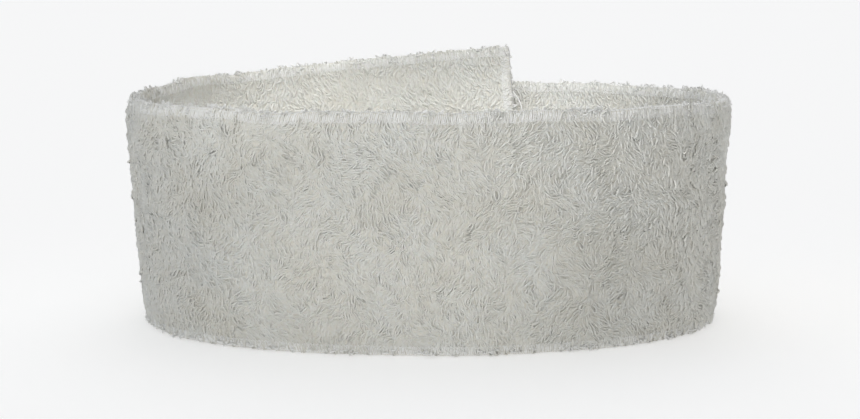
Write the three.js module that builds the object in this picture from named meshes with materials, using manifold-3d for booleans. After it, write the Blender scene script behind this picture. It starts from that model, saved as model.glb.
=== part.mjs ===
// Towelling headband with overlocked edges, closed at the back by hook-and-loop tape.
// Millimetres, +Z up. The band stands on its lower edge with the front wall at -Y, the lapped
// closure at +Y, and the origin on the ground under the middle of the ring.
import * as THREE from 'three';
import { mergeVertices } from 'three/addons/utils/BufferGeometryUtils.js';
import Module from 'manifold-3d';

const wasm = await Module();
wasm.setup();

// Clearance between pieces that touch on the real band.
const GAP = 0.3;

// The towelling strip, standing on edge.
const STRIP_WIDTH = 76;
const CLOTH_THICKNESS = 5;
const EDGE_THICKNESS = 2.8;

// Overlock thread, which wraps each edge of the strip as a channel.
const SEAM_REACH = 4;
const SEAM_THICKNESS = 4.6;
const SEAM_WRAP = 0.8;
const SEAM_ROUNDING = 1.2;
const SHOULDER = 1.2;

// Middle line of the strip in plan: an oval a little squarer than an ellipse.
const RING_HALF_WIDTH = 95.5;
const RING_HALF_DEPTH = 71.5;
const RING_SQUARENESS = 2.2;
const FLARE = 5;

// Hook and loop tapes, sewn to the faces that meet in the lap.
const TAPE_THICKNESS = 1.1;
const TAPE_HEIGHT = 50;
const HOOK_TAPE_LENGTH = 40;
const LOOP_TAPE_LENGTH = 42;
const TAPE_FROM_END = 8;
const STITCH_WIDTH = 1.6;
const STITCH_THICKNESS = 0.9;

// Places along the ring, as angles from +X towards +Y: right side, back, left side, front.
const RIGHT_SIDE = 0;
const TAB_FOLD = 55;
const INNER_END = 59;
const OUTER_END = 104;
const LAP_FULL = 114;
const LAP_START = 172;
const LEFT_SIDE = 180;
const FULL_TURN = 360;

// The inner end of the strip lies inside the outer end, and rises towards its free edge.
const LAP_OFFSET = CLOTH_THICKNESS + 2 * TAPE_THICKNESS + 3 * GAP;
const END_LIFT = 13.5;
const LIFT_EASE = 0.1;

// Spacing of the sections along the strip: finer where the ring bends more.
const FRONT_PITCH = 13;
const ARM_PITCH = 11;
const TAPE_PITCH = 9;

// Fineness of the curves, and how far a cutting block passes the face that it cuts.
const ARC_LENGTH_STEPS = 900;
const SLOPE_STEP = 0.01;
const ROUNDING_SEGMENTS = 2;
const MERGE_DISTANCE = 1e-4;
const CUT_MARGIN = 1;

const CLOTH_COLOUR = 0xe9e8df;
const THREAD_COLOUR = 0xf1f0e9;
const HOOK_COLOUR = 0xe4e4de;

// Oval middle line between two angles, pushed inward where one layer passes inside the other.
class RingCurve extends THREE.Curve {
  constructor(startDegrees, endDegrees, inset) {
    super();
    this.startDegrees = startDegrees;
    this.endDegrees = endDegrees;
    this.inset = inset;
    this.arcLengthDivisions = ARC_LENGTH_STEPS;
  }

  getPoint(t, target = new THREE.Vector3()) {
    const degrees = THREE.MathUtils.lerp(this.startDegrees, this.endDegrees, t);
    const angle = THREE.MathUtils.degToRad(degrees);
    const across = Math.abs(Math.cos(angle) / RING_HALF_WIDTH) ** RING_SQUARENESS;
    const along = Math.abs(Math.sin(angle) / RING_HALF_DEPTH) ** RING_SQUARENESS;
    const radius = (across + along) ** (-1 / RING_SQUARENESS) - this.inset(degrees);
    return target.set(radius * Math.cos(angle), radius * Math.sin(angle), 0);
  }
}

// How far the inner layer lies inside the ring's middle line.
function lapInset(degrees) {
  return LAP_OFFSET * (1 - THREE.MathUtils.smoothstep(degrees, LAP_FULL, LAP_START));
}

// A stretch of the standing strip: its middle line and how far its lower edge is off the ground.
class Wall {
  constructor(startDegrees, endDegrees, inset = () => 0, endLift = 0) {
    this.curve = new RingCurve(startDegrees, endDegrees, inset);
    this.length = this.curve.getLength();
    this.endLift = endLift;
  }

  // The lift is greatest at the free end, at distance 0, and fades out at the far end.
  lift(distance) {
    const share = 1 - distance / this.length;
    return this.endLift * (1 + LIFT_EASE) * share ** 2 / (share + LIFT_EASE);
  }

  slope(distance) {
    const rise = this.lift(distance + SLOPE_STEP) - this.lift(distance - SLOPE_STEP);
    return rise / (2 * SLOPE_STEP);
  }

  // Turns depth (outward), height and distance along the strip into a place in space.
  // The wall leans outward as it rises, and a rising strip turns its end edge with it.
  place(depth, height, distance) {
    const along = distance - this.slope(distance) * height;
    const share = THREE.MathUtils.clamp(along / this.length, 0, 1);
    const middle = this.curve.getPointAt(share);
    const tangent = this.curve.getTangentAt(share);
    const z = height + this.lift(distance);
    const outward = depth + FLARE * z / STRIP_WIDTH;
    return new THREE.Vector3(middle.x + tangent.y * outward, middle.y - tangent.x * outward, z);
  }
}

// Distances from start to end, about one every `pitch`, after any extra ones listed first.
function stations(start, end, pitch, leading = []) {
  const count = Math.ceil((end - start) / pitch);
  const even = Array.from({ length: count + 1 }, (_, i) => start + (end - start) * i / count);
  return [...leading, ...even];
}

// Sweeps a section (x depth, y height) along a wall, through the given distances.
function sweep(section, distances, wall, squeeze = () => 1) {
  const steps = distances.length - 1;
  const geometry = new THREE.ExtrudeGeometry(section, {
    depth: steps,
    steps,
    bevelEnabled: false,
    curveSegments: ROUNDING_SEGMENTS,
  });
  const position = geometry.attributes.position;
  for (let i = 0; i < position.count; i += 1) {
    const distance = distances[Math.round(position.getZ(i))];
    const depth = position.getX(i) * squeeze(distance);
    const placed = wall.place(depth, position.getY(i), distance);
    position.setXYZ(i, placed.x, placed.y, placed.z);
  }
  geometry.deleteAttribute('normal');
  geometry.deleteAttribute('uv');
  const merged = mergeVertices(geometry, MERGE_DISTANCE);
  // Depth, height and distance form a left-handed set, so every face is turned round.
  merged.index.array.reverse();
  return merged;
}

// A rectangular block between two depths, two heights and two distances.
function block([depth0, depth1], [height0, height1], distances, wall) {
  const section = new THREE.Shape();
  section.moveTo(depth0, height0);
  section.lineTo(depth1, height0);
  section.lineTo(depth1, height1);
  section.lineTo(depth0, height1);
  section.closePath();
  return sweep(section, distances, wall);
}

function toSolid(geometry) {
  return new wasm.Manifold(new wasm.Mesh({
    numProp: 3,
    vertProperties: geometry.attributes.position.array,
    triVerts: new Uint32Array(geometry.index.array),
  }));
}

function subtract(geometry, cutter) {
  const mesh = toSolid(geometry).subtract(toSolid(cutter)).getMesh();
  const result = new THREE.BufferGeometry();
  result.setAttribute('position', new THREE.BufferAttribute(mesh.vertProperties, 3));
  result.setIndex(new THREE.BufferAttribute(mesh.triVerts, 1));
  return result;
}

// Cloth section: full thickness between the seams, squeezed thin inside them.
function clothSection() {
  const thin = EDGE_THICKNESS / 2;
  const thick = CLOTH_THICKNESS / 2;
  const foot = SEAM_WRAP + GAP;
  const neck = SEAM_REACH + GAP;
  const outline = [[thin, foot], [thin, neck], [thick, neck + SHOULDER]];
  const upper = outline.map(([depth, height]) => [depth, STRIP_WIDTH - height]).reverse();
  const outerSide = [...outline, ...upper];
  const innerSide = outerSide.map(([depth, height]) => [-depth, height]).reverse();
  return new THREE.Shape([...outerSide, ...innerSide].map(([x, y]) => new THREE.Vector2(x, y)));
}

// Overlock section: a channel with rounded corners and a flat sole, open towards the cloth.
function seamSection(isTop) {
  const outer = SEAM_THICKNESS / 2;
  const inner = EDGE_THICKNESS / 2 + GAP;
  const bend = outer - SEAM_ROUNDING;
  const shape = new THREE.Shape();
  shape.moveTo(inner, SEAM_REACH);
  shape.lineTo(inner, SEAM_WRAP);
  shape.lineTo(-inner, SEAM_WRAP);
  shape.lineTo(-inner, SEAM_REACH);
  shape.lineTo(-outer, SEAM_REACH);
  shape.absarc(-bend, SEAM_ROUNDING, SEAM_ROUNDING, Math.PI, 1.5 * Math.PI, false);
  shape.absarc(bend, SEAM_ROUNDING, SEAM_ROUNDING, 1.5 * Math.PI, 2 * Math.PI, false);
  shape.lineTo(outer, SEAM_REACH);
  shape.closePath();
  if (!isTop) {
    return shape;
  }
  const outline = shape.getPoints(ROUNDING_SEGMENTS);
  return new THREE.Shape(outline.map((p) => new THREE.Vector2(-p.x, STRIP_WIDTH - p.y)));
}

// Cap of overlock thread over a free end of the strip, hollow for the thin edge of the cloth.
// `inward` is 1 where the strip continues at greater distances from the end, and -1 where at less.
function endSeam(wall, end, inward) {
  const span = (from, to) => [end + inward * from, end + inward * to].sort((a, b) => a - b);
  const outer = SEAM_THICKNESS / 2;
  const inner = EDGE_THICKNESS / 2 + GAP;
  const shell = block([-outer, outer], [0, STRIP_WIDTH], span(0, SEAM_REACH), wall);
  const pocketHeights = [SEAM_WRAP, STRIP_WIDTH - SEAM_WRAP];
  const pocketSpan = span(SEAM_WRAP, SEAM_REACH + CUT_MARGIN);
  const pocket = block([-inner, inner], pocketHeights, pocketSpan, wall);
  return subtract(shell, pocket);
}

// Frame of zigzag stitches around a tape, on the face of the cloth.
function stitchFrame(wall, [depth0, depth1], [start, end]) {
  const low = (STRIP_WIDTH - TAPE_HEIGHT) / 2 - GAP;
  const high = STRIP_WIDTH - low;
  const outerSpan = stations(start - GAP - STITCH_WIDTH, end + GAP + STITCH_WIDTH, TAPE_PITCH);
  const outerHeights = [low - STITCH_WIDTH, high + STITCH_WIDTH];
  const frame = block([depth0, depth1], outerHeights, outerSpan, wall);
  const innerSpan = stations(start - GAP, end + GAP, TAPE_PITCH);
  const hole = block([depth0 - CUT_MARGIN, depth1 + CUT_MARGIN], [low, high], innerSpan, wall);
  return subtract(frame, hole);
}

const MATERIALS = {
  cloth: new THREE.MeshStandardMaterial({ color: CLOTH_COLOUR, roughness: 0.95, metalness: 0 }),
  thread: new THREE.MeshStandardMaterial({ color: THREAD_COLOUR, roughness: 0.8, metalness: 0 }),
  tape: new THREE.MeshStandardMaterial({ color: HOOK_COLOUR, roughness: 0.6, metalness: 0 }),
};

const headband = new THREE.Group();

function addPiece(name, geometry, material) {
  const piece = new THREE.Mesh(geometry, material.clone());
  piece.name = name;
  geometry.computeVertexNormals();
  headband.add(piece);
}

// The cloth of one stretch with the overlock along its two long edges. A stretch ends in a joint
// to its neighbour, or in a free end that is squeezed into an end seam.
function addStretch(side, wall, pitch, freeEnd = null) {
  const jointGap = GAP / 2;
  const hidden = SEAM_WRAP + GAP;
  const neck = SEAM_REACH + GAP;
  const thin = EDGE_THICKNESS / CLOTH_THICKNESS;
  const { length } = wall;
  let cloth = stations(jointGap, length - jointGap, pitch);
  let seam = cloth;
  let squeeze = () => 1;
  if (freeEnd === 'start') {
    cloth = stations(neck + SHOULDER, length - jointGap, pitch, [hidden, neck]);
    seam = stations(neck, length - jointGap, pitch);
    squeeze = (distance) => (distance <= neck ? thin : 1);
  } else if (freeEnd === 'end') {
    cloth = [...stations(jointGap, length - neck - SHOULDER, pitch), length - neck, length - hidden];
    seam = stations(jointGap, length - neck, pitch);
    squeeze = (distance) => (distance >= length - neck ? thin : 1);
  }
  addPiece(`strip_${side}`, sweep(clothSection(), cloth, wall, squeeze), MATERIALS.cloth);
  addPiece(`top_overlock_${side}`, sweep(seamSection(true), seam, wall), MATERIALS.thread);
  addPiece(`bottom_overlock_${side}`, sweep(seamSection(false), seam, wall), MATERIALS.thread);
}

// A tape sewn to one face of a wall, with the stitches around it.
function addTape(name, wall, face, [start, end]) {
  const low = (STRIP_WIDTH - TAPE_HEIGHT) / 2;
  const near = CLOTH_THICKNESS / 2 + GAP;
  const layer = (thickness) => [face * near, face * (near + thickness)].sort((a, b) => a - b);
  const distances = stations(start, end, TAPE_PITCH);
  const tape = block(layer(TAPE_THICKNESS), [low, low + TAPE_HEIGHT], distances, wall);
  addPiece(name, tape, MATERIALS.tape);
  addPiece(`${name}_stitching`, stitchFrame(wall, layer(STITCH_THICKNESS), [start, end]), MATERIALS.thread);
}

const frontWall = new Wall(LEFT_SIDE, FULL_TURN);
const rightWall = new Wall(RIGHT_SIDE, TAB_FOLD);
const tabWall = new Wall(TAB_FOLD, OUTER_END);
const leftWall = new Wall(INNER_END, LEFT_SIDE, lapInset, END_LIFT);

addStretch('front', frontWall, FRONT_PITCH);
addStretch('right', rightWall, ARM_PITCH);
addStretch('tab', tabWall, ARM_PITCH, 'end');
addStretch('left', leftWall, ARM_PITCH, 'start');

addPiece('end_overlock_inner', endSeam(leftWall, 0, 1), MATERIALS.thread);
addPiece('end_overlock_outer', endSeam(tabWall, tabWall.length, -1), MATERIALS.thread);

const hookEnd = tabWall.length - TAPE_FROM_END;
addTape('loop_tape', leftWall, 1, [TAPE_FROM_END, TAPE_FROM_END + LOOP_TAPE_LENGTH]);
addTape('hook_tape', tabWall, -1, [hookEnd - HOOK_TAPE_LENGTH, hookEnd]);

export default headband;
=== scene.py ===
import math

import bpy
import numpy as np
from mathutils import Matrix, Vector


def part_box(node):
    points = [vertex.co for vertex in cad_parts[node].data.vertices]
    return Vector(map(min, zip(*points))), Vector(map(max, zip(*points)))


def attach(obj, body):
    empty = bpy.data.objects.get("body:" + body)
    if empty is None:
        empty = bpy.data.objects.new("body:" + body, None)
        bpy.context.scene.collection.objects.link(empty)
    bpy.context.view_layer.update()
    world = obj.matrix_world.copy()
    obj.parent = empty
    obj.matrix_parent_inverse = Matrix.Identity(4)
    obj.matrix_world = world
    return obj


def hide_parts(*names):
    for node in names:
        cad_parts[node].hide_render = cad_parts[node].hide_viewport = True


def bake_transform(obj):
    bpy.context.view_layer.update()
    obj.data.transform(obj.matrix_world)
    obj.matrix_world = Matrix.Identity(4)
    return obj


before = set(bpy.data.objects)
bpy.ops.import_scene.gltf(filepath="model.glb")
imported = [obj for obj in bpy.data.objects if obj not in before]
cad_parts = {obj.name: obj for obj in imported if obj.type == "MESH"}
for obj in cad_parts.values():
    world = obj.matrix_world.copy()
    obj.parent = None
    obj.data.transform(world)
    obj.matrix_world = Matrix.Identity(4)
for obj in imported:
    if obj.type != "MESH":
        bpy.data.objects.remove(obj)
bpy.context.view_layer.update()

MM = 0.001

# ---- The strip, as the frame has it -------------------------------------------------------------
STRIP_WIDTH = 76 * MM
CLOTH_THICKNESS = 5 * MM
FLARE = 5 * MM
SQUARENESS = 2.2
# Degrees round the ring from its right side. The outer end laps over the inner one at the back.
INNER_END, LEFT_SIDE, OUTER_END = 59, 180, 360 + 104
LAP_FULL, LAP_START = 114, 172
LAP_OFFSET = 8.1 * MM
END_LIFT = 13.5 * MM
LIFT_EASE = 0.1
SEAM_HALF = 2.3 * MM
SEAM_REACH = 4 * MM

sole_low, sole_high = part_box("bottom_overlock_front")
SOLE_LEAN = FLARE * SEAM_REACH / STRIP_WIDTH
RING_HALF_WIDTH = sole_high.x - SEAM_HALF - SOLE_LEAN
RING_HALF_DEPTH = -sole_low.y - SEAM_HALF - SOLE_LEAN

# ---- Cloth, pile and thread ---------------------------------------------------------------------
GROUND_HALF = 1.6 * MM
GROUND_INSET = 0.42 * MM
GROUND_STEP = 1.3 * MM
GROUND_ROWS = 57
PAD_HALF = 2.6 * MM
EDGE_CURL = 0.9 * MM
CURL_REACH = 9 * MM

LOOP_PITCH_ALONG = 1.05 * MM
LOOP_PITCH_UP = 1.15 * MM
LOOP_LENGTH = 3.0 * MM
LOOP_HEIGHT = 0.3 * MM
LOOP_HALF_GAP = 0.43 * MM
YARN_RADIUS = 0.36 * MM
ROOT_DEPTH = 0.2 * MM
COMBED_REACH = 6 * MM
PILE_INSET = 0.9 * MM
# By face, outer 1 and inner -1: how far the loops turn off straight down, in degrees, and their
# share of the full height.
SWIRL = {1: 85, -1: 45}
LOFT = {1: 1, -1: 0.5}
# Where the pile is all gone beside a long edge or an end, and how far from there it is full. The
# inner face keeps most of its pile up to the long edges.
BARE_EDGE = {1: 0.5 * MM, -1: -1.5 * MM}
BARE_END = 0.5 * MM
THINNING = 3 * MM
# Some loops are pulled up taller, and none reaches more than a little past the cloth.
TALL_SHARE, TALL_BY = 0.05, 2.8
LOOP_LOWEST = 0.5 * MM
LOOP_PAST_TOP, LOOP_PAST_END = 0.8 * MM, 0.4 * MM
# Points of one loop, from root to root, as shares: how far along its leg, how much its round tip
# takes off that, and how far to the side of its middle.
LOOP_LEG = np.array([0, 0.35, 0.7, 1, 1, 1, 0.7, 0.35, 0])
LOOP_TIP = np.array([0, 0, 0, -0.62, 0, -0.62, 0, 0, 0])
LOOP_ACROSS = np.array([-0.4, -0.9, -1.1, -0.8, 0, 0.8, 1.1, 0.9, 0.4])
CAUGHT_REACH = np.array([0, 0.5, 0.88, 1, 0.88, 0.5, 0])
CAUGHT_ACROSS = np.array([-0.7, -1, -0.75, 0, 0.75, 1, 0.7])

STITCH_PITCH = 1.15 * MM
THREAD_RADIUS = 0.26 * MM
WRAP_HALF = 1.75 * MM
WRAP_REACH = 3.0 * MM
PAIR_SPACING = 0.24
CHAIN_SWING = 0.28 * MM
CHAIN_LIFT = 0.12 * MM
CHAIN_RADIUS = 0.8 * THREAD_RADIUS
SEAM_SETBACK = 0.3 * MM
END_SEAM_SETBACK = 0.4 * MM
CAUGHT_PER_METRE = 3000
FLOOR_GAP = 0.35 * MM

# ---- Closure tapes ------------------------------------------------------------------------------
TAPE_HEIGHT = 50 * MM
TAPE_LOW = (STRIP_WIDTH - TAPE_HEIGHT) / 2
TAPE_HIGH = STRIP_WIDTH - TAPE_LOW
TAPE_FROM_END = 8 * MM
HOOK_TAPE_LENGTH = 40 * MM
LOOP_TAPE_LENGTH = 42 * MM
TAPE_BORDER = 2.6 * MM
TAPE_BOTTOM = 2.5 * MM
TAPE_TOP = 3.1 * MM
SUNK_IN_TAPE = 0.05 * MM
HOOK_PITCH_ALONG, HOOK_PITCH_UP = 1.25 * MM, 1.1 * MM
HOOK_RADIUS = 0.2 * MM
HOOK_STEM = np.array([0, 0.25, 0.45, 0.45, 0.45, 0.45, 0.45, 0.45]) * MM
HOOK_TURN = np.radians([0, 0, 0, 45, 90, 135, 180, 215])
HOOK_WIRE_RADIUS = 0.085 * MM
NAP_PITCH = 0.95 * MM
NAP_HEIGHT = 0.75 * MM
NAP_FIBRE_RADIUS = 0.07 * MM
ZIGZAG_PITCH = 0.75 * MM
ZIGZAG_HALF = 0.9 * MM
ZIGZAG_RADIUS = 0.16 * MM
TAIL_RADIUS = 0.2 * MM

PILE_SEED, SEAM_SEED, END_SEAM_SEED = 1000, 2000, 2100


def smoothstep(x, low, high):
    """From 0 below low to 1 above high, with soft ends."""
    t = np.clip((np.asarray(x, float) - low) / (high - low), 0, 1)
    return t * t * (3 - 2 * t)


def noise(x, y, cell, seed):
    """Seeded noise from -1 to 1 that varies smoothly over about one cell."""
    size = 97
    table = np.random.default_rng(seed).uniform(-1, 1, (size, size))
    gx, gy = np.asarray(x, float) / cell, np.asarray(y, float) / cell
    ix, iy = np.floor(gx).astype(int), np.floor(gy).astype(int)
    fx, fy = gx - ix, gy - iy
    fx, fy = fx * fx * (3 - 2 * fx), fy * fy * (3 - 2 * fy)

    def row(j):
        return table[ix % size, j % size] * (1 - fx) + table[(ix + 1) % size, j % size] * fx

    return row(iy) * (1 - fy) + row(iy + 1) * fy


# ---- Where the strip runs -----------------------------------------------------------------------
TABLE_DEGREES = np.linspace(INNER_END, OUTER_END, 6001)


def middle_line():
    """The wall's middle line in plan at ground level, from the inner end round to the outer end."""
    angle = np.radians(TABLE_DEGREES)
    across = np.abs(np.cos(angle) / RING_HALF_WIDTH) ** SQUARENESS
    along = np.abs(np.sin(angle) / RING_HALF_DEPTH) ** SQUARENESS
    radius = (across + along) ** (-1 / SQUARENESS)
    inset = LAP_OFFSET * (1 - smoothstep(TABLE_DEGREES, LAP_FULL, LAP_START))
    radius = radius - np.where(TABLE_DEGREES < LEFT_SIDE, inset, 0)
    return np.stack([radius * np.cos(angle), radius * np.sin(angle)], 1)


LINE = middle_line()
DISTANCES = np.concatenate([[0], np.cumsum(np.linalg.norm(np.diff(LINE, axis=0), axis=1))])
TANGENTS = np.gradient(LINE, DISTANCES, axis=0)
TANGENTS /= np.linalg.norm(TANGENTS, axis=1)[:, None]


def distance_at(degrees):
    """Distance along the strip at an angle round the ring."""
    return float(np.interp(degrees, TABLE_DEGREES, DISTANCES))


STRIP_LENGTH = float(DISTANCES[-1])
LEFT_JOINT = distance_at(LEFT_SIDE)
LOOP_TAPE = (TAPE_FROM_END, TAPE_FROM_END + LOOP_TAPE_LENGTH)
HOOK_TAPE = (STRIP_LENGTH - TAPE_FROM_END - HOOK_TAPE_LENGTH, STRIP_LENGTH - TAPE_FROM_END)


def lift(s):
    """How far the strip's lower edge is off the ground: most at the inner end."""
    share = np.maximum(1 - np.asarray(s, float) / LEFT_JOINT, 0)
    return END_LIFT * (1 + LIFT_EASE) * share**2 / (share + LIFT_EASE)


def layered_noise(x, y, layers):
    """Sum of noises, each given by its height, cell size and seed."""
    return sum(height * noise(x, y, cell, seed) for height, cell, seed in layers)


# Height, cell size and seed of the layers of unevenness: of the wall's face and of its top edge.
WALL_WAVES = [(0.75 * MM, 31 * MM, 5), (0.35 * MM, 13 * MM, 6), (0.3 * MM, 6 * MM, 7)]
EDGE_WAVES = [(0.5 * MM, 17 * MM, 8), (0.25 * MM, 6 * MM, 9)]
FLAT_UP_TO, WAVY_FROM = 60 * MM, 105 * MM
SLOPE_STEP = 0.01 * MM


def relief(s, h):
    """Soft waves of the whole wall, which fade out where its two ends lie on each other, and the
    slight inward curl of its overlocked edges."""
    clear = smoothstep(s, FLAT_UP_TO, WAVY_FROM) * smoothstep(STRIP_LENGTH - s, FLAT_UP_TO, WAVY_FROM)
    from_edge = np.minimum(h, STRIP_WIDTH - h)
    curl = EDGE_CURL * (1 - smoothstep(from_edge, 0, CURL_REACH))
    return clear * layered_noise(s, h, WALL_WAVES) - curl


def place(s, h, depth):
    """World points of strip coordinates, given as numbers or arrays that broadcast together."""
    s, h, depth = (np.asarray(a, float) for a in np.broadcast_arrays(s, h, depth))
    slope = (lift(s + SLOPE_STEP) - lift(s - SLOPE_STEP)) / (2 * SLOPE_STEP)
    wanted = s - slope * h
    along = np.clip(wanted, 0, STRIP_LENGTH)
    x, y = (np.interp(along, DISTANCES, LINE[:, i]) for i in (0, 1))
    tx, ty = (np.interp(along, DISTANCES, TANGENTS[:, i]) for i in (0, 1))
    x, y = x + tx * (wanted - along), y + ty * (wanted - along)
    edge_wave = layered_noise(s, 0 * s, EDGE_WAVES)
    z = h + lift(s) + edge_wave * smoothstep(h, 0.3 * STRIP_WIDTH, STRIP_WIDTH)
    outward = depth + FLARE * z / STRIP_WIDTH + relief(s, h)
    return np.stack([x + ty * outward, y - tx * outward, z], -1)


def inside(x, low, high):
    """From 0 to 1: how far x is between two limits, with a soft border outside them."""
    return smoothstep(x, low - TAPE_BORDER, low) * smoothstep(-x, -high - TAPE_BORDER, -high)


def in_tape(s, h, side):
    """From 0 to 1: how far a point is under the tape on this face."""
    span = LOOP_TAPE if side > 0 else HOOK_TAPE
    return inside(s, *span) * inside(h, TAPE_LOW, TAPE_HIGH)


def ground_half(s, h, side):
    """Half the thickness of the ground with the roots of its pile, which is flattened and wider
    under a tape."""
    return GROUND_HALF + (PAD_HALF - GROUND_HALF) * in_tape(s, h, side)


# ---- Mesh making --------------------------------------------------------------------------------
def mesh_object(name, vertices, polygons, strip_uv=None):
    """A smooth-shaded mesh. polygons is a list of index arrays, each with its own corner count.
    strip_uv gives each vertex its distance and height on the strip, in millimetres."""
    mesh = bpy.data.meshes.new(name)
    corners = np.concatenate([p.ravel() for p in polygons])
    totals = np.concatenate([np.full(len(p), p.shape[1]) for p in polygons])
    starts = np.concatenate([[0], np.cumsum(totals)[:-1]])
    mesh.vertices.add(len(vertices))
    mesh.vertices.foreach_set("co", np.ascontiguousarray(vertices, np.float32).ravel())
    mesh.loops.add(len(corners))
    mesh.loops.foreach_set("vertex_index", corners.astype(np.int32))
    mesh.polygons.add(len(totals))
    mesh.polygons.foreach_set("loop_start", starts.astype(np.int32))
    mesh.polygons.foreach_set("use_smooth", np.ones(len(totals), bool))
    if strip_uv is not None:
        layer = mesh.uv_layers.new(name="strip")
        layer.data.foreach_set("uv", np.ascontiguousarray(strip_uv[corners], np.float32).ravel())
    mesh.update(calc_edges=True)
    piece = bpy.data.objects.new(name, mesh)
    bpy.context.scene.collection.objects.link(piece)
    return piece


def unit(v):
    """Vectors at length 1."""
    return v / np.maximum(np.linalg.norm(v, axis=-1, keepdims=True), 1e-12)


def tubes(paths, radii, sides, reference):
    """Closed tubes of several sides along many paths (count, points, 3) at once.
    reference is a direction for each path that no part of it runs along."""
    count, points = paths.shape[:2]
    tangent = unit(np.gradient(paths, axis=1))
    reference = np.broadcast_to(reference, (count, 3))[:, None, :]
    u = unit(reference - (reference * tangent).sum(-1, keepdims=True) * tangent)
    v = np.cross(tangent, u)
    angle = np.arange(sides) * 2 * math.pi / sides
    ring = u[:, :, None] * np.cos(angle)[:, None] + v[:, :, None] * np.sin(angle)[:, None]
    radii = np.broadcast_to(radii, (count, points))[:, :, None, None]
    vertices = paths[:, :, None] + ring * radii
    k = np.arange(sides)
    i = np.arange(points - 1)[:, None] * sides
    after = (k + 1) % sides
    wall = np.stack([i + k, i + after, i + after + sides, i + k + sides], -1).reshape(-1, 4)
    caps = np.stack([k[::-1], (points - 1) * sides + k])
    start = (np.arange(count) * points * sides)[:, None, None]
    return vertices.reshape(-1, 3), [(wall + start).reshape(-1, 4), (caps + start).reshape(-1, sides)]


def joined(parts):
    """One (vertices, polygons) pair from several, with equal corner counts kept together."""
    vertices, by_corners, offset = [], {}, 0
    for points, polygons in parts:
        vertices.append(points)
        for p in polygons:
            by_corners.setdefault(p.shape[1], []).append(p + offset)
        offset += len(points)
    return np.concatenate(vertices), [np.concatenate(p) for p in by_corners.values()]


def closed_sheet(name, s, h, depth_of):
    """A thin closed sheet over the grid of distances s and heights h, with depth_of(s, h, side) on
    the outer face (side 1) and the inner face (side -1)."""
    up = np.concatenate([h, h[::-1]])
    side = np.concatenate([np.ones(len(h)), -np.ones(len(h))])
    grid_s, grid_h = np.meshgrid(s, up, indexing="ij")
    grid_side = np.broadcast_to(side, grid_s.shape)
    depth = np.where(grid_side > 0, depth_of(grid_s, grid_h, 1), depth_of(grid_s, grid_h, -1))
    vertices = place(grid_s, grid_h, depth).reshape(-1, 3)
    around, columns = len(up), len(s) - 1
    i = np.arange(columns)[:, None] * around
    k = np.arange(around)[None, :]
    after = (k + 1) % around
    wall = np.stack([i + k, i + k + around, i + after + around, i + after], -1).reshape(-1, 4)
    row = np.arange(len(h) - 1)
    first = np.stack([row, row + 1, around - 2 - row, around - 1 - row], -1)
    last = first[:, ::-1] + columns * around
    uv = np.stack([grid_s.ravel(), grid_h.ravel()], 1) / MM
    return mesh_object(name, vertices, [wall, np.concatenate([first, last])], uv)


# ---- Woven ground -------------------------------------------------------------------------------
def edge_rounding(s, h):
    """Share of the ground's thickness that is left where the overlock rounds its cut edges."""
    from_edge = np.minimum(np.minimum(h, STRIP_WIDTH - h), np.minimum(s, STRIP_LENGTH - s))
    return np.sqrt(1 - (1 - np.clip(from_edge / WRAP_HALF, 0, 1)) ** 2)


def ground_cloth(name, start, end):
    """The woven ground between two distances along the strip, set in a little from every edge."""
    start, end = max(start, GROUND_INSET), min(end, STRIP_LENGTH - GROUND_INSET)
    s = np.linspace(start, end, int((end - start) / GROUND_STEP) + 1)
    h = np.linspace(GROUND_INSET, STRIP_WIDTH - GROUND_INSET, GROUND_ROWS)

    def face(s, h, side):
        return side * ground_half(s, h, side) * edge_rounding(s, h)

    return closed_sheet(name, s, h, face)


# ---- Loop pile ----------------------------------------------------------------------------------
def loop_paths(s, h, side, rng, length, height, half_gap):
    """Middle lines of yarn loops about the points (s, h): two legs and a round tip, lying over in a
    swirling direction. The tip stands about `height` off the ground, and a loop may twist."""
    count = len(s)
    swirl = SWIRL[side] * smoothstep(np.minimum(h, STRIP_WIDTH - h), MM, COMBED_REACH)
    flow = layered_noise(s, h, [(1, 8 * MM, 21 + side), (0.45, 4 * MM, 24 + side)])
    direction = np.radians(-90 + swirl * flow + rng.normal(0, 16, count))
    forward = np.stack([np.cos(direction), np.sin(direction)], 1)
    sideways = np.stack([-forward[:, 1], forward[:, 0]], 1)
    length, height, half_gap = length[:, None], height[:, None], half_gap[:, None]
    across = LOOP_ACROSS * half_gap
    reach = LOOP_LEG + LOOP_TIP * half_gap / length
    twist = np.radians(rng.uniform(-80, 80, count))[:, None] * reach
    bend = rng.normal(0, 0.16, count)[:, None] * length * reach**2
    phase = rng.uniform(0, 2 * math.pi, (count, 1))
    wave = 0.1 * MM * np.sin(phase + np.linspace(0, 11, len(LOOP_LEG)))
    droop = rng.uniform(0.45, 1.0, count)[:, None]
    run = length * (0.35 * reach + 0.55 * reach**2 - 0.42)
    rise = height * (droop * reach**2 + 2.4 * reach * (1 - reach))
    over = bend + wave + across * np.cos(twist)
    loop_s = s[:, None] + forward[:, :1] * run + sideways[:, :1] * over
    loop_h = h[:, None] + forward[:, 1:] * run + sideways[:, 1:] * over
    return loop_s, loop_h, rise + across * np.sin(twist)


def loop_tubes(paths, radii):
    """Three-sided yarn tubes along loops, each turned to its own loop's plane."""
    tip = paths.shape[1] // 2
    plane = np.cross(paths[:, tip] - paths[:, 0], paths[:, -1] - paths[:, 0])
    return tubes(paths, radii[:, None], 3, unit(plane))


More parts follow.
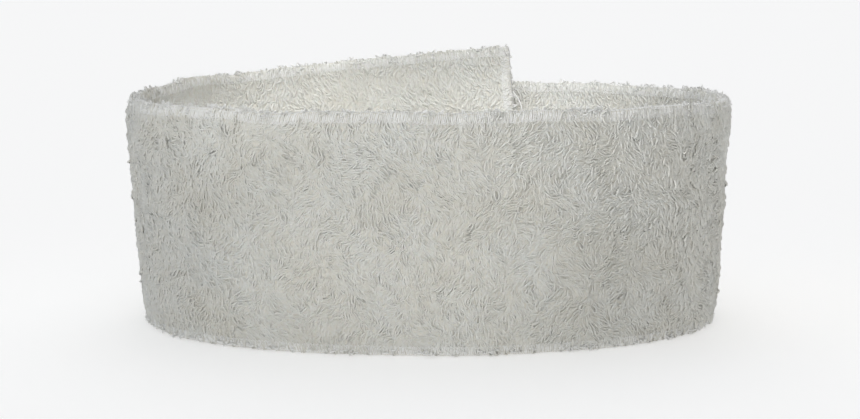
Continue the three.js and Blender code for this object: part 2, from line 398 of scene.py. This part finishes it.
def loop_field(name, start, end, side, seed):
    """Loop pile on one face of the strip between two distances."""
    rng = np.random.default_rng(seed)
    low, high = PILE_INSET, STRIP_WIDTH - PILE_INSET
    start, end = max(start, PILE_INSET), min(end, STRIP_LENGTH - PILE_INSET)
    columns = round((end - start) / LOOP_PITCH_ALONG)
    rows = round((high - low) / LOOP_PITCH_UP)
    cell_s, cell_h = np.meshgrid(np.arange(columns), np.arange(rows), indexing="ij")
    cell_s = cell_s + rng.uniform(0.08, 0.92, cell_s.shape)
    cell_h = cell_h + rng.uniform(0.08, 0.92, cell_h.shape)
    s = (start + cell_s / columns * (end - start)).ravel()
    h = (low + cell_h / rows * (high - low)).ravel()
    from_long_edge = np.minimum(h, STRIP_WIDTH - h)
    from_end = np.minimum(s, STRIP_LENGTH - s)
    share = (smoothstep(from_long_edge, BARE_EDGE[side], BARE_EDGE[side] + THINNING)
             * smoothstep(from_end, BARE_END, BARE_END + THINNING))
    free = (in_tape(s, h, side) == 0) & (rng.random(len(s)) < share)
    s, h = s[free], h[free]
    count = len(s)
    clumps = 1 + 0.16 * noise(s, h, 9 * MM, 31)
    length = LOOP_LENGTH * clumps * rng.normal(1, 0.16, count).clip(0.55, 1.5)
    height = LOOP_HEIGHT * clumps * rng.normal(1, 0.2, count).clip(0.5, 1.6)
    height = np.where(rng.random(count) < TALL_SHARE, height * TALL_BY, height) * LOFT[side]
    half_gap = LOOP_HALF_GAP * rng.uniform(0.55, 1.5, count)
    loop_s, loop_h, rise = loop_paths(s, h, side, rng, length, height, half_gap)
    loop_h = np.clip(loop_h, LOOP_LOWEST, STRIP_WIDTH + LOOP_PAST_TOP)
    loop_s = np.clip(loop_s, -LOOP_PAST_END, STRIP_LENGTH + LOOP_PAST_END)
    depth = side * (ground_half(loop_s, loop_h, side) - ROOT_DEPTH + rise)
    radii = YARN_RADIUS * rng.uniform(0.85, 1.2, count)
    return mesh_object(name, *loop_tubes(place(loop_s, loop_h, depth), radii))


# ---- Overlock -----------------------------------------------------------------------------------
# Each edge turns a distance along it and a rise into strip coordinates. The rise is 0 where a
# wrapped thread's middle passes over the edge, and negative towards the cloth.
EDGES = {
    "top": lambda along, rise: (along, STRIP_WIDTH - THREAD_RADIUS + rise),
    "bottom": lambda along, rise: (along, THREAD_RADIUS - rise),
    "inner": lambda along, rise: (THREAD_RADIUS - rise, along),
    "outer": lambda along, rise: (STRIP_LENGTH - THREAD_RADIUS + rise, along),
}


def wrap_section():
    """Depth and rise of a thread that passes over the cloth edge from one face to the other."""
    arc = np.radians(np.linspace(0, 180, 7))
    leg = np.array([-WRAP_REACH, -0.5 * (WRAP_REACH + WRAP_HALF)])
    depth = np.concatenate([[WRAP_HALF] * 2, WRAP_HALF * np.cos(arc), [-WRAP_HALF] * 2])
    rise = np.concatenate([leg, WRAP_HALF * (np.sin(arc) - 1), leg[::-1]])
    return depth, rise


def wrap_threads(edge, start, end, rng):
    """Pairs of thread wrapped over an edge, one pair for each stitch, with a slight slant."""
    depth, rise = wrap_section()
    stitches = round((end - start) / STITCH_PITCH)
    pitch = (end - start) / stitches
    middle = start + (np.arange(stitches) + 0.5) * pitch
    centres = np.concatenate([middle - PAIR_SPACING * pitch, middle + PAIR_SPACING * pitch])
    count = len(centres)
    lean_by = 0.6 if edge in ("top", "bottom") else 1.3
    slant = np.linspace(-lean_by, lean_by, len(depth)) * pitch
    along = centres[:, None] + slant + rng.normal(0, 0.06 * MM, (count, 1))
    along = along + 0.07 * MM * np.sin(rng.uniform(0, 6, (count, 1)) + np.arange(len(depth)) * 1.3)
    swell = rng.normal(0, 0.05 * MM, (count, 1))
    along = np.clip(along, start, end)
    s, h = EDGES[edge](along, rise + 0 * along + swell * (edge == "top"))
    paths = place(s, h, depth + swell * np.sign(depth))
    normal = unit(paths[:, 0] - paths[:, -1])
    lean = unit(np.cross(normal, paths[:, len(depth) // 2] - paths[:, 0]))
    radii = THREAD_RADIUS * rng.uniform(0.88, 1.0, (count, 1))
    return tubes(paths, radii, 4, lean)


def chain_thread(edge, start, end, side, rng):
    """The looper thread that zigzags along the inner border of the overlock on one face."""
    count = 2 * round((end - start) / STITCH_PITCH) + 1
    along = np.linspace(start, end, count)
    swing = np.where(np.arange(count) % 2, 1, -1) * CHAIN_SWING + rng.normal(0, 0.04 * MM, count)
    s, h = EDGES[edge](along, -WRAP_REACH + swing)
    path = place(s, h, side * (WRAP_HALF + CHAIN_LIFT))[None]
    along_strip = edge in ("top", "bottom")
    reference = np.array([0, 0, 1.0]) if along_strip else unit(path[0, 0] * (1, 1, 0))
    return tubes(path, CHAIN_RADIUS, 4, reference)


def edge_loops(edge, start, end, rng):
    """Pile loops caught in the overlock, which stand out between its threads all round the rolled
    edge, in uneven tufts. On the edge that the band stands on they only point sideways."""
    along = rng.uniform(start, end, int((end - start) * CAUGHT_PER_METRE))
    tufts = noise(along, 0 * along, 2.5 * MM, 41)
    kept = rng.random(len(along)) < 0.3 + 0.9 * tufts
    along, tufts = along[kept, None], tufts[kept, None]
    count = len(along)
    least, most = (0, 95) if edge != "bottom" else (62, 95)
    around = rng.uniform(least, most, (count, 1)) * rng.choice([-1, 1], (count, 1))
    root, out = np.radians(around), np.radians(around + rng.normal(0, 20, (count, 1)))
    length = MM * (0.85 + 0.35 * tufts + 0.8 * rng.random((count, 1)) ** 2)
    half_gap = MM * rng.uniform(0.22, 0.45, (count, 1))
    reach = length * CAUGHT_REACH
    across = half_gap * CAUGHT_ACROSS
    turn = rng.uniform(-1.2, 1.2, (count, 1))
    lean = rng.normal(0, 0.5, (count, 1)) * reach
    root_radius = 0.85 * WRAP_HALF
    depth = root_radius * np.sin(root) + reach * np.sin(out) + across * np.sin(turn) * np.cos(out)
    rise = root_radius * np.cos(root) - WRAP_HALF + reach * np.cos(out)
    along = np.clip(along + across * np.cos(turn) + lean, start, end)
    s, h = EDGES[edge](along, rise)
    h = np.maximum(h, FLOOR_GAP - lift(s))
    return loop_tubes(place(s, h, depth), YARN_RADIUS * rng.uniform(0.55, 0.85, count))


def overlock(name, edge, start, end, seed):
    """The finished overlock on one stretch of edge."""
    rng = np.random.default_rng(seed)
    parts = [wrap_threads(edge, start, end, rng)]
    parts += [chain_thread(edge, start, end, side, rng) for side in (1, -1)]
    parts.append(edge_loops(edge, start, end, rng))
    return mesh_object(name, *joined(parts))


# ---- Closure ------------------------------------------------------------------------------------
def tape_base(name, span, side):
    """The woven base of a closure tape, on one face of the strip."""
    s = np.linspace(*span, 40)
    h = np.linspace(TAPE_LOW, TAPE_HIGH, 48)
    inner_face, outer_face = sorted((side * TAPE_BOTTOM, side * TAPE_TOP))
    return closed_sheet(name, s, h, lambda s, h, face: 0 * s + (outer_face if face > 0 else inner_face))


def rows_on(span, pitch_along, pitch_up, rng, border, jitter):
    """Evenly spaced points on a tape, moved a little at random."""
    s = np.arange(span[0] + border, span[1] - border, pitch_along)
    h = np.arange(TAPE_LOW + border, TAPE_HIGH - border, pitch_up)
    s, h = (a.ravel() for a in np.meshgrid(s, h, indexing="ij"))
    return s + rng.normal(0, jitter, len(s)), h + rng.normal(0, jitter, len(s))


def hooks(name, span, side):
    """Rows of small stiff hooks, every other row facing the other way."""
    rng = np.random.default_rng(61)
    s, h = rows_on(span, HOOK_PITCH_ALONG, HOOK_PITCH_UP, rng, border=2.2 * MM, jitter=0.04 * MM)
    turn = np.where(np.round((s - span[0]) / HOOK_PITCH_ALONG) % 2, 1, -1)[:, None]
    rise = HOOK_STEM + HOOK_RADIUS * np.sin(HOOK_TURN)
    over = HOOK_RADIUS * (1 - np.cos(HOOK_TURN))
    paths = place(s[:, None], h[:, None] + turn * over, side * (TAPE_TOP - SUNK_IN_TAPE + rise))
    along = unit(paths[:, 0] * (1, 1, 0))
    reference = np.cross(along, (0, 0, 1.0))
    return mesh_object(name, *tubes(paths, HOOK_WIRE_RADIUS, 4, reference))


def nap(name, span, side):
    """The brushed nap of the loop tape: fine loops lying in every direction."""
    rng = np.random.default_rng(62)
    s, h = rows_on(span, NAP_PITCH, NAP_PITCH, rng, border=1.6 * MM, jitter=0.3 * MM)
    count = len(s)
    heading = rng.uniform(0, 2 * math.pi, count)[:, None]
    length = MM * rng.uniform(0.8, 1.5, count)[:, None]
    reach = np.linspace(-0.5, 0.5, 6)
    arch = 1 - (2 * reach) ** 2
    bow = length * 0.35 * arch * rng.choice([-1, 1], count)[:, None]
    path_s = s[:, None] + np.cos(heading) * reach * length - np.sin(heading) * bow
    path_h = h[:, None] + np.sin(heading) * reach * length + np.cos(heading) * bow
    height = NAP_HEIGHT * rng.uniform(0.4, 0.9, count)[:, None]
    paths = place(path_s, path_h, side * (TAPE_TOP - SUNK_IN_TAPE + height * arch))
    return mesh_object(name, *tubes(paths, NAP_FIBRE_RADIUS, 3, unit(paths[:, 0] * (1, 1, 0))))


def tape_stitching(name, span, side):
    """Zigzag stitches over the border of a tape, all the way round."""
    corners = [(span[0], TAPE_LOW), (span[1], TAPE_LOW), (span[1], TAPE_HIGH), (span[0], TAPE_HIGH)]
    normals = [(0, -1), (1, 0), (0, 1), (-1, 0)]
    points, outside = [], []
    for i, (corner, normal) in enumerate(zip(corners, normals)):
        end = corners[(i + 1) % 4]
        length = math.dist(corner, end)
        steps = 2 * round(length / ZIGZAG_PITCH / 2)
        for k in range(steps):
            out = k % 2 == 1
            offset = ZIGZAG_HALF if out else -ZIGZAG_HALF
            t = (k + 0.5) / steps
            points.append([corner[j] + (end[j] - corner[j]) * t + normal[j] * offset for j in (0, 1)])
            outside.append(out)
    points = np.array(points)
    depth = np.where(outside, TAPE_BOTTOM + 0.15 * MM, TAPE_TOP + 0.12 * MM)
    path = place(points[:, 0], points[:, 1], side * depth)[None]
    middle = unit(path[0].mean(0) * (1, 1, 0))
    return mesh_object(name, *tubes(path, ZIGZAG_RADIUS, 5, middle))


def thread_tail(name):
    """The loose end of overlock thread at the corner where the seam was cut off."""
    t = np.linspace(0, 1, 26)
    s = -0.2 * MM - 3.2 * MM * np.sin(t * 2.2)
    h = STRIP_WIDTH - 17 * MM - 11 * MM * t
    depth = -1.2 * MM - 1.6 * MM * t + 0.5 * MM * np.sin(t * 7)
    path = place(s, h, depth)[None]
    return mesh_object(name, *tubes(path, TAIL_RADIUS, 5, np.array([0, 1.0, 0])))


# ---- Materials ----------------------------------------------------------------------------------
def material(name, slot_color, tones, scales, roughness, sheen, bump=None):
    """Cloth or thread whose colour drifts between two tones, over patches and from yarn to yarn.
    The scales are those of the patches and of the yarns."""
    m = bpy.data.materials.new(name)
    m.use_nodes = True
    nodes, links = m.node_tree.nodes, m.node_tree.links
    shader = nodes["Principled BSDF"]
    where = nodes.new("ShaderNodeTexCoord")
    blend = nodes.new("ShaderNodeMix")
    blend.inputs["Factor"].default_value = 0.5
    for scale, detail, socket in zip(scales, (3, 2), ("A", "B")):
        texture = nodes.new("ShaderNodeTexNoise")
        texture.inputs["Scale"].default_value = scale
        texture.inputs["Detail"].default_value = detail
        links.new(where.outputs["Object"], texture.inputs["Vector"])
        links.new(texture.outputs["Fac"], blend.inputs[socket])
    tone = nodes.new("ShaderNodeMix")
    tone.data_type = "RGBA"
    for socket, colour in zip(("A", "B"), tones):
        tone.inputs[socket].default_value = (*colour, 1)
    spread = nodes.new("ShaderNodeMapRange")
    spread.inputs["From Min"].default_value = 0.35
    spread.inputs["From Max"].default_value = 0.65
    links.new(blend.outputs["Result"], spread.inputs["Value"])
    links.new(spread.outputs["Result"], tone.inputs["Factor"])
    links.new(tone.outputs["Result"], shader.inputs["Base Color"])
    shader.inputs["Roughness"].default_value = roughness
    shader.inputs["Specular IOR Level"].default_value = 0.25
    shader.inputs["Sheen Weight"].default_value = sheen
    shader.inputs["Sheen Roughness"].default_value = 0.5
    m.diffuse_color = (*slot_color, 1)
    if bump:
        bump(nodes, links, shader)
    return m


def fibre_bump(nodes, links, shader):
    """Fine twisted fibres on a yarn."""
    where = nodes.new("ShaderNodeTexCoord")
    fibres = nodes.new("ShaderNodeTexNoise")
    bump = nodes.new("ShaderNodeBump")
    fibres.inputs["Scale"].default_value = 4200
    fibres.inputs["Detail"].default_value = 1
    bump.inputs["Strength"].default_value = 0.35
    bump.inputs["Distance"].default_value = 0.06 * MM
    links.new(where.outputs["Object"], fibres.inputs["Vector"])
    links.new(fibres.outputs["Fac"], bump.inputs["Height"])
    links.new(bump.outputs["Normal"], shader.inputs["Normal"])


def weave_bump(nodes, links, shader):
    """Plain weave: bands along and across the strip, about two threads to the millimetre."""
    where = nodes.new("ShaderNodeUVMap")
    where.uv_map = "strip"
    top = nodes.new("ShaderNodeMath")
    top.operation = "MAXIMUM"
    for socket, across in enumerate("XY"):
        wave = nodes.new("ShaderNodeTexWave")
        wave.bands_direction = across
        wave.inputs["Scale"].default_value = 0.62
        wave.inputs["Distortion"].default_value = 0.6
        links.new(where.outputs["UV"], wave.inputs["Vector"])
        links.new(wave.outputs["Fac"], top.inputs[socket])
    bump = nodes.new("ShaderNodeBump")
    bump.inputs["Strength"].default_value = 0.7
    bump.inputs["Distance"].default_value = 0.15 * MM
    links.new(top.outputs["Value"], bump.inputs["Height"])
    links.new(bump.outputs["Normal"], shader.inputs["Normal"])


OFF_WHITE = (0.7, 0.7, 0.66)
MATERIALS = {
    "pile": material(
        "pile_cotton", OFF_WHITE, tones=((0.705, 0.69, 0.63), (0.76, 0.765, 0.735)),
        scales=(55, 700), roughness=0.95, sheen=0.2, bump=fibre_bump),
    # The ground's tones are a little darker and warmer than the pile's: painted shade and warm bounce
    # light for the gaps between the loops.
    "ground": material(
        "ground_cotton_painted_shade", (0.69, 0.68, 0.62), tones=((0.70, 0.675, 0.60), (0.73, 0.715, 0.655)),
        scales=(60, 500), roughness=0.95, sheen=0.1, bump=weave_bump),
    "thread": material(
        "overlock_thread", (0.72, 0.72, 0.69), tones=((0.82, 0.82, 0.795), (0.87, 0.87, 0.855)),
        scales=(80, 900), roughness=0.8, sheen=0.15, bump=fibre_bump),
    "tape": material(
        "tape_weave", OFF_WHITE, tones=((0.65, 0.65, 0.61), (0.70, 0.70, 0.665)),
        scales=(90, 800), roughness=0.6, sheen=0.1, bump=weave_bump),
    "nylon": material(
        "nylon", OFF_WHITE, tones=((0.67, 0.67, 0.63), (0.73, 0.73, 0.705)),
        scales=(120, 1500), roughness=0.35, sheen=0),
}


# ---- Camera, floor and light --------------------------------------------------------------------
CAMERA_PLACE = (0, -0.653, 0.123)
CAMERA_DOWN = 7.55
CAMERA_LENS, CAMERA_SENSOR = 80.2, 36
CAMERA_SHIFT = 0.0015
NEAREST, FARTHEST = 0.01, 60
TABLE_SIZE = 50
TABLE_DROP = 0.1 * MM
TABLE_WHITE, TABLE_GLOW = 0.88, 0.32
# The glow of the room's far walls, and the z of an upward direction where it starts to fade and
# where it is gone.
WALL_GLOW = 0.93
WALL_FADES_FROM, WALL_GONE_AT = 0.12, 0.26
# Direction of each glow, how sharply it fades away from it, its strength and its tint.
ROOM_GLOWS = [
    ((-1, -0.2, 0.4), 12, 0.3, (0.3, 0.6, 1)),
    ((0, -0.75, 0.65), 12, 1.7, (1, 1, 1)),
    ((0, 0.15, 1), 4, 1.1, (1, 1, 1)),
    ((0, 0.75, 0.65), 12, 1.3, (1, 1, 1)),
]
# Name of each softbox, where it stands, what it points at, its width and height, watts and the
# spread of its beam in degrees.
SOFTBOXES = [
    ("inside_softbox", (0, -0.75, 0.62), (0.007, 0.075, 0.052), (0.14, 0.05), 0.0155, 5),
    ("corner_softbox", (0.35, -0.72, 0.62), (-0.071, 0.048, 0.056), (0.07, 0.05), 0.0048, 5),
    ("rim_softbox", (-0.7, -0.8, 0.35), (0.01, -0.068, 0.079), (0.17, 0.04), 0.0095, 5),
    ("front_softbox", (-0.1, -0.85, 0.16), (-0.014, -0.072, 0.026), (0.10, 0.05), 0.003, 5),
    ("back_softbox", (0, 0.9, 0.2), (0, 0.078, 0.04), (0.5, 0.3), 0.27, 60),
]


def camera():
    """The photo's view: from the front, a little above the band."""
    data = bpy.data.cameras.new("camera")
    data.sensor_width = CAMERA_SENSOR
    data.lens = CAMERA_LENS
    data.shift_x = CAMERA_SHIFT
    data.clip_start, data.clip_end = NEAREST, FARTHEST
    cam = bpy.data.objects.new("camera", data)
    bpy.context.scene.collection.objects.link(cam)
    cam.location = CAMERA_PLACE
    cam.rotation_euler = (math.radians(90 - CAMERA_DOWN), 0, 0)
    bpy.context.scene.camera = cam


def floor():
    """A pale light table: part of its brightness is its own, so shadows on it stay faint. It is in
    the collection of what the softboxes leave out."""
    bpy.ops.mesh.primitive_plane_add(size=TABLE_SIZE, location=(0, 0, -TABLE_DROP))
    table = bpy.context.object
    table.name = "floor"
    surface = bpy.data.materials.new("light_table")
    surface.use_nodes = True
    shader = surface.node_tree.nodes["Principled BSDF"]
    shader.inputs["Base Color"].default_value = (TABLE_WHITE, TABLE_WHITE, TABLE_WHITE, 1)
    shader.inputs["Roughness"].default_value = 1.0
    shader.inputs["Specular IOR Level"].default_value = 0.0
    shader.inputs["Emission Color"].default_value = (1, 1, 1, 1)
    shader.inputs["Emission Strength"].default_value = TABLE_GLOW
    table.data.materials.append(surface)
    flagged = bpy.data.collections.new("off_softboxes")
    flagged.objects.link(table)
    flagged.collection_objects[0].light_linking.link_state = "EXCLUDE"


def softbox(name, location, target, size, power, spread):
    """A softbox whose grid keeps its light inside a beam, flagged so that it stays off the table."""
    data = bpy.data.lights.new(name, "AREA")
    data.shape = "RECTANGLE"
    data.size, data.size_y = size
    data.energy = power
    data.spread = math.radians(spread)
    lamp = bpy.data.objects.new(name, data)
    bpy.context.scene.collection.objects.link(lamp)
    lamp.location = location
    aim = Vector(target) - Vector(location)
    lamp.rotation_euler = aim.to_track_quat("-Z", "Y").to_euler()
    lamp.light_linking.receiver_collection = bpy.data.collections["off_softboxes"]


def math_node(nodes, kind, operation, socket, value):
    """A Math or VectorMath node with one of its inputs set."""
    node = nodes.new(f"ShaderNode{kind}")
    node.operation = operation
    node.inputs[socket].default_value = value
    return node


def studio_light():
    """A pale room that is brighter towards a few directions, each a soft glow on the far walls."""
    world = bpy.data.worlds.new("studio")
    bpy.context.scene.world = world
    world.use_nodes = True
    nodes, links = world.node_tree.nodes, world.node_tree.links
    where = nodes.new("ShaderNodeTexCoord")
    split = nodes.new("ShaderNodeSeparateXYZ")
    wall = nodes.new("ShaderNodeMapRange")
    wall.interpolation_type = "SMOOTHSTEP"
    wall.inputs["From Min"].default_value = WALL_FADES_FROM
    wall.inputs["From Max"].default_value = WALL_GONE_AT
    wall.inputs["To Min"].default_value = WALL_GLOW
    wall.inputs["To Max"].default_value = 0
    links.new(where.outputs["Generated"], split.inputs[0])
    links.new(split.outputs["Z"], wall.inputs["Value"])
    total = wall.outputs["Result"]
    for direction, sharpness, strength, tint in ROOM_GLOWS:
        towards = math_node(nodes, "VectorMath", "DOT_PRODUCT", 1, Vector(direction).normalized())
        facing = math_node(nodes, "Math", "MAXIMUM", 1, 0)
        fade = math_node(nodes, "Math", "POWER", 1, sharpness)
        light = math_node(nodes, "VectorMath", "SCALE", 0, strength * Vector(tint))
        both = nodes.new("ShaderNodeVectorMath")
        both.operation = "ADD"
        links.new(where.outputs["Generated"], towards.inputs[0])
        links.new(towards.outputs["Value"], facing.inputs[0])
        links.new(facing.outputs[0], fade.inputs[0])
        links.new(fade.outputs[0], light.inputs["Scale"])
        links.new(light.outputs["Vector"], both.inputs[0])
        links.new(total, both.inputs[1])
        total = both.outputs["Vector"]
    links.new(total, nodes["Background"].inputs["Color"])
    bpy.context.scene.view_settings.view_transform = "Standard"


camera()
floor()
studio_light()
for box in SOFTBOXES:
    softbox(*box)

# ---- The pieces on their bodies -----------------------------------------------------------------
SIDE_BEND = 45 * MM
FOLD_BEND = 13 * MM
TAB_FOLD = distance_at(360 + 55)
FRONT_FROM, FRONT_TO, TAB_FROM = distance_at(214), distance_at(326), distance_at(360 + 36)
side_x = RING_HALF_WIDTH + CLOTH_THICKNESS / 2
fold = Vector(place(TAB_FOLD, STRIP_WIDTH / 2, 0))
fold_way = (Vector(place(TAB_FOLD + MM, STRIP_WIDTH / 2, 0)) - fold).normalized()


def side_bend(x):
    """Where the bend of one side starts and ends."""
    return (x, -SIDE_BEND, 0), (x, SIDE_BEND, 0)


# Where each stretch starts and ends, the two bodies it bends between and where that bend is. The
# front one stays on one body.
STRETCHES = {
    "left": (0, FRONT_FROM, ("band_front", "left_arm"), side_bend(-side_x)),
    "front": (FRONT_FROM, FRONT_TO, ("band_front", None), None),
    "right": (FRONT_TO, TAB_FROM, ("band_front", "right_arm"), side_bend(side_x)),
    "tab": (TAB_FROM, STRIP_LENGTH, ("right_arm", "closure_tab"),
            (fold - fold_way * FOLD_BEND, fold + fold_way * FOLD_BEND)),
}


def finish_piece(piece, stretch, look):
    """Gives a piece its material. On a stretch that bends, its place is baked into its mesh and it
    follows no body; on the front it is attached to its one body.
    """
    piece.data.materials.append(MATERIALS[look])
    _, _, (body, other), bend = STRETCHES[stretch]
    if bend:
        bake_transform(piece)
    else:
        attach(piece, body)
    return piece


def finish_tape(piece, body, look):
    """Gives a piece of a closure tape its material and its one body."""
    piece.data.materials.append(MATERIALS[look])
    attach(piece, body)
    return piece


def closure(kind, span, side, body, surface_maker):
    """One closure tape: woven base, hooks or nap, and the stitches round it."""
    base = finish_tape(tape_base(f"{kind}_tape_base", span, side), body, "tape")
    surface = surface_maker(f"{kind}_tape_{surface_maker.__name__}", span, side)
    finish_tape(surface, body, "nylon")
    stitches = tape_stitching(f"{kind}_tape_zigzag", span, side)
    finish_tape(stitches, body, "thread")
    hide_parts(f"{kind}_tape")
    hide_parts(f"{kind}_tape_stitching")
    return [base, surface, stitches]


tapes = {
    "left": closure("loop", LOOP_TAPE, 1, "left_arm", nap),
    "tab": closure("hook", HOOK_TAPE, -1, "closure_tab", hooks),
}
END_EDGES = {"left": "inner", "tab": "outer"}

for number, (stretch, (start, end, _, _)) in enumerate(STRETCHES.items()):
    cloth = finish_piece(ground_cloth(f"cloth_{stretch}", start, end), stretch, "ground")
    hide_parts(f"strip_{stretch}")
    on_it = list(tapes.get(stretch, []))
    for side, face in ((1, "outer"), (-1, "inner")):
        pile = loop_field(f"pile_{face}_{stretch}", start, end, side, PILE_SEED + 10 * number + side)
        on_it.append(finish_piece(pile, stretch, "pile"))
    for edge in ("top", "bottom"):
        seam_from, seam_to = max(start, SEAM_SETBACK), min(end, STRIP_LENGTH - SEAM_SETBACK)
        seam = overlock(f"overlock_{edge}_{stretch}", edge, seam_from, seam_to, SEAM_SEED + number)
        on_it.append(finish_piece(seam, stretch, "thread"))
        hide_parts(f"{edge}_overlock_{stretch}")
    if stretch in END_EDGES:
        edge = END_EDGES[stretch]
        seam_from, seam_to = END_SEAM_SETBACK, STRIP_WIDTH - END_SEAM_SETBACK
        seam = overlock(f"overlock_end_{edge}", edge, seam_from, seam_to, END_SEAM_SEED)
        on_it.append(finish_piece(seam, stretch, "thread"))
        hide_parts(f"end_overlock_{edge}")
    if stretch == "left":
        tail = thread_tail("overlock_thread_tail")
        on_it.append(finish_piece(tail, stretch, "thread"))
